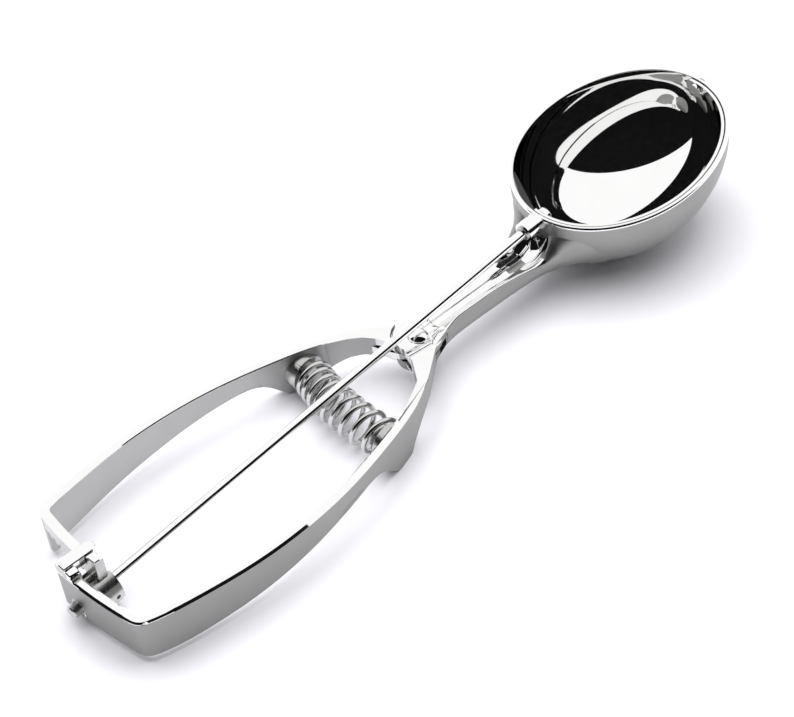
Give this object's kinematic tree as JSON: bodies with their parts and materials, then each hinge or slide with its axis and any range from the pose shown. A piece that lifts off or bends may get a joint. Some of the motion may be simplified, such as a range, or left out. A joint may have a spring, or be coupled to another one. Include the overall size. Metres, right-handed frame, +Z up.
{
  "type": "lever ice cream scoop",
  "caption": "Oval bowl scoop whose two springy handle arms squeeze together so a rack and pinion swings a scraper round the bowl.",
  "frame": {"origin": "on the table under the middle of the scoop's length and width", "axes": "+X from the handle's butt to the bowl tip, +Y to the moving lever's side, +Z up"},
  "size_m": [0.228, 0.0534, 0.0321],
  "materials": {
    "bowl_polish": "mirror polished stainless steel",
    "scraper_polish": "mirror polished stainless steel",
    "frame_satin": "satin stainless steel with polished flat tops",
    "lever_satin": "satin stainless steel with polished flat tops",
    "spindle_polish": "polished drawn steel",
    "spring_steel": "drawn spring wire and turned steel seats"
  },
  "bodies": {
    "base": {"bowl": "bowl_polish", "handle_frame": "frame_satin", "heel_boss": "frame_satin", "guide_bridge": "frame_satin", "pivot_rivet": "spindle_polish", "rear_bush": "frame_satin", "front_bush": "frame_satin", "tip_bush": "bowl_polish", "spring_seat_fixed": "spring_steel", "spring": "spring_steel"},
    "lever": {"lever_arm": "lever_satin", "rack_bar": "lever_satin", "end_stop": "lever_satin", "spring_seat_lever": "spring_steel"},
    "spindle": {"spindle_rod": "spindle_polish", "pinion": "spindle_polish", "pinion_pin": "spindle_polish", "thrust_washer": "spindle_polish", "scraper": "scraper_polish", "scraper_collar": "scraper_polish", "tip_pin": "scraper_polish"}
  },
  "joints": [
    {"name": "lever_hinge", "type": "hinge", "parent": "base", "child": "lever", "pos_m": [0.00196, 0, 0.01034], "axis": [-0.1091, 0, 0.994], "range_deg": [0, 7.3], "stiffness_Nm_per_rad": 2.7, "springref_deg": -6.3, "deforming": ["spring"]},
    {"name": "spindle_spin", "type": "hinge", "parent": "base", "child": "spindle", "pos_m": [0.07758, 0, 0.02628], "axis": [0.994, 0, 0.1091], "range_deg": [0, 168.11]}
  ],
  "couplings": [
    {"joint": "spindle_spin", "follows": "lever_hinge", "ratio": 23.022}
  ]
}
